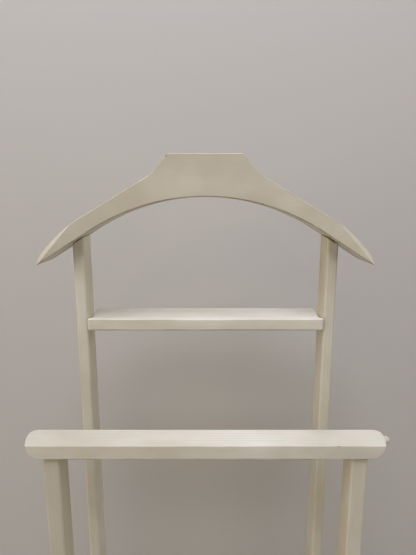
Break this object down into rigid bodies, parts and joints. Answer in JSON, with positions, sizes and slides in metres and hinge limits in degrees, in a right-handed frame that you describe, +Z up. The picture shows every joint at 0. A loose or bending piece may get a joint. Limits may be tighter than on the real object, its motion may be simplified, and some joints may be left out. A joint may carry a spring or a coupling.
{
  "type": "clothes valet stand",
  "caption": "Folding wooden clothes valet stand, painted cream, with a shaped jacket hanger, a small tray, a trouser bar and shoe rods between floor rails.",
  "frame": {"origin": "on the floor, midway between the two floor rails and midway along them", "axes": "+Z up, -Y towards the front where the trouser bar is, +X towards the right end with the peg"},
  "size_m": [0.481, 0.32, 1.05],
  "materials": {
    "painted_wood": "satin cream paint over closed-grain wood",
    "bare_wood": "bare beech",
    "zinc_steel": "zinc-plated",
    "nylon": "moulded, matt"
  },
  "bodies": {
    "rear_frame": {"hanger": "painted_wood", "upright_left": "painted_wood", "upright_right": "painted_wood", "tray": "painted_wood", "rear_stretcher": "painted_wood", "hanger_dowels": "bare_wood", "tray_dowels": "bare_wood", "rear_stretcher_dowels": "bare_wood", "stay_rear_bolts": "zinc_steel", "stay_rear_nuts": "zinc_steel"},
    "foot_frame": {"foot_rail_left": "painted_wood", "foot_rail_right": "painted_wood", "shoe_rod_front": "painted_wood", "shoe_rod_middle": "painted_wood", "shoe_rod_rear": "painted_wood", "tie_rod": "painted_wood", "stop_rod": "painted_wood", "foot_glides": "nylon", "rear_pivot_bolts": "zinc_steel", "rear_pivot_nuts": "zinc_steel", "front_pivot_bolts": "zinc_steel", "front_pivot_nuts": "zinc_steel", "rail_washers": "nylon"},
    "front_frame": {"trouser_bar": "painted_wood", "bar_peg": "painted_wood", "front_leg_left": "painted_wood", "front_leg_right": "painted_wood", "front_stretcher": "painted_wood", "bar_dowels": "bare_wood", "front_stretcher_dowels": "bare_wood", "stay_front_bolts": "zinc_steel", "stay_front_nuts": "zinc_steel"},
    "stays": {"stay_left": "painted_wood", "stay_right": "painted_wood", "stay_washers": "nylon"}
  },
  "joints": [
    {"name": "foot_fold", "type": "hinge", "parent": "rear_frame", "child": "foot_frame", "pos_m": [0, 0.08, 0.07], "axis": [-1, 0, 0], "range_deg": [0, 90]},
    {"name": "front_fold", "type": "hinge", "parent": "foot_frame", "child": "front_frame", "pos_m": [0, 0.0095, 0.03], "axis": [-1, 0, 0], "range_deg": [-90, 0]},
    {"name": "stay_fold", "type": "hinge", "parent": "rear_frame", "child": "stays", "pos_m": [0, 0.08, 0.4], "axis": [-1, 0, 0], "range_deg": [0, 90]}
  ],
  "couplings": [
    {"joint": "front_fold", "follows": "foot_fold", "ratio": -1},
    {"joint": "stay_fold", "follows": "foot_fold", "ratio": 1}
  ]
}
